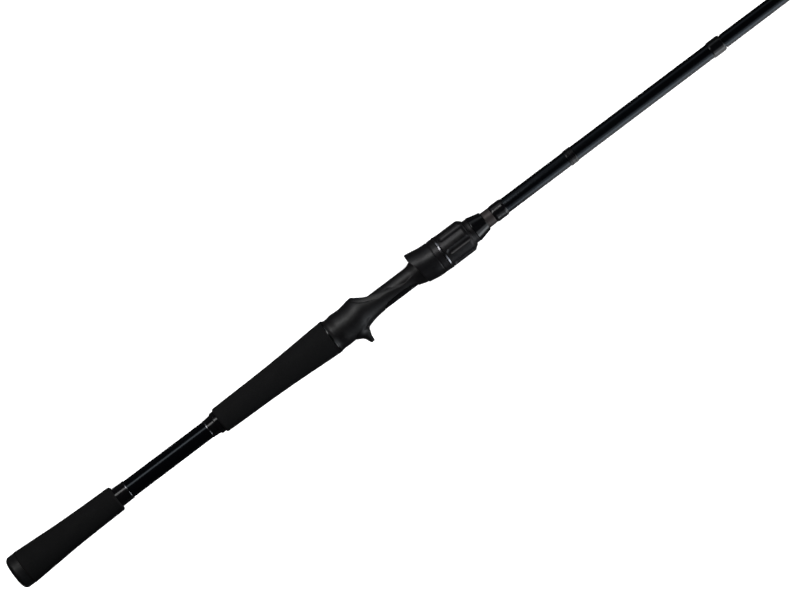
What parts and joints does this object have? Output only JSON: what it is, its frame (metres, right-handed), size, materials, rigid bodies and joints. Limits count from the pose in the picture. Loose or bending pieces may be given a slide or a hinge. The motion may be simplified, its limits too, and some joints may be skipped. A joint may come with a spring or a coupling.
{
  "type": "fishing rod",
  "caption": "Two-piece casting rod with a split foam handle, a trigger reel seat with a screw-down moving hood, and ringed line guides along a tapered blank.",
  "frame": {"origin": "centre of the butt cap's flat end, on the rod's axis", "axes": "+X along the rod from butt to tip, +Y the reel and guide side, -Y the trigger side, +Z lateral: the rod lies on its side"},
  "size_m": [2.1331, 0.0398, 0.0258],
  "materials": {
    "foam_grip": "matte foam",
    "cap_rubber": "satin",
    "inner_plastic": "matte",
    "carbon_blank": "satin clear coat",
    "seat_composite": "satin",
    "gloss_trim": "gloss",
    "bright_trim": "polished black",
    "anodised_black": "satin",
    "nut_insert": "matte",
    "grey_trim": "satin",
    "thread_wrap": "gloss",
    "guide_metal": "satin",
    "guide_ceramic": "polished"
  },
  "bodies": {
    "handle": {"butt_cap": "cap_rubber", "butt_plug": "inner_plastic", "rear_grip": "foam_grip", "rear_collar": "gloss_trim", "rear_collar_ring": "bright_trim", "butt_blank": "carbon_blank", "front_collar_ring": "bright_trim", "front_collar": "gloss_trim", "grip_check": "gloss_trim", "main_grip": "foam_grip", "seat_trim_ring": "gloss_trim", "reel_seat_body": "seat_composite", "finger_rest_insert": "gloss_trim", "seat_rear_arbor": "inner_plastic", "seat_front_arbor": "inner_plastic", "fixed_hood_liner": "inner_plastic", "fore_cone": "gloss_trim", "fore_trim_ring": "grey_trim", "fore_wrap": "thread_wrap", "hook_keeper": "guide_metal", "hook_keeper_wrap": "thread_wrap", "ferrule_wrap": "thread_wrap"},
    "hood": {"moving_hood": "anodised_black", "moving_hood_liner": "inner_plastic", "hood_bead_ring": "bright_trim"},
    "nut": {"lock_nut": "anodised_black", "lock_nut_insert": "nut_insert"},
    "tip_section": {"tip_blank": "carbon_blank", "ferrule_spigot": "carbon_blank", "guide_1_frame": "guide_metal", "guide_1_ring": "guide_ceramic", "guide_1_wraps": "thread_wrap", "guide_2_frame": "guide_metal", "guide_2_ring": "guide_ceramic", "guide_2_wraps": "thread_wrap", "guide_3_frame": "guide_metal", "guide_3_ring": "guide_ceramic", "guide_3_wraps": "thread_wrap", "guide_4_frame": "guide_metal", "guide_4_ring": "guide_ceramic", "guide_4_wraps": "thread_wrap", "guide_5_frame": "guide_metal", "guide_5_ring": "guide_ceramic", "guide_5_wraps": "thread_wrap", "guide_6_frame": "guide_metal", "guide_6_ring": "guide_ceramic", "guide_6_wraps": "thread_wrap", "guide_7_frame": "guide_metal", "guide_7_ring": "guide_ceramic", "guide_7_wraps": "thread_wrap", "guide_8_frame": "guide_metal", "guide_8_ring": "guide_ceramic", "guide_8_wraps": "thread_wrap", "tip_top_frame": "guide_metal", "tip_top_ring": "guide_ceramic", "tip_top_wrap": "thread_wrap"}
  },
  "joints": [
    {"name": "hood_slide", "type": "slide", "parent": "handle", "child": "hood", "axis": [-1, 0, 0], "range_m": [0, 0.01]},
    {"name": "nut_turn", "type": "hinge", "parent": "hood", "child": "nut", "pos_m": [0.3815, 0, 0], "axis": [-1, 0, 0], "range_deg": [0, 2400]},
    {"name": "tip_pull", "type": "slide", "parent": "handle", "child": "tip_section", "axis": [1, 0, 0], "range_m": [0, 0.09]}
  ],
  "couplings": [
    {"joint": "hood_slide", "follows": "nut_turn", "m_per_rad": 0.00023873}
  ]
}
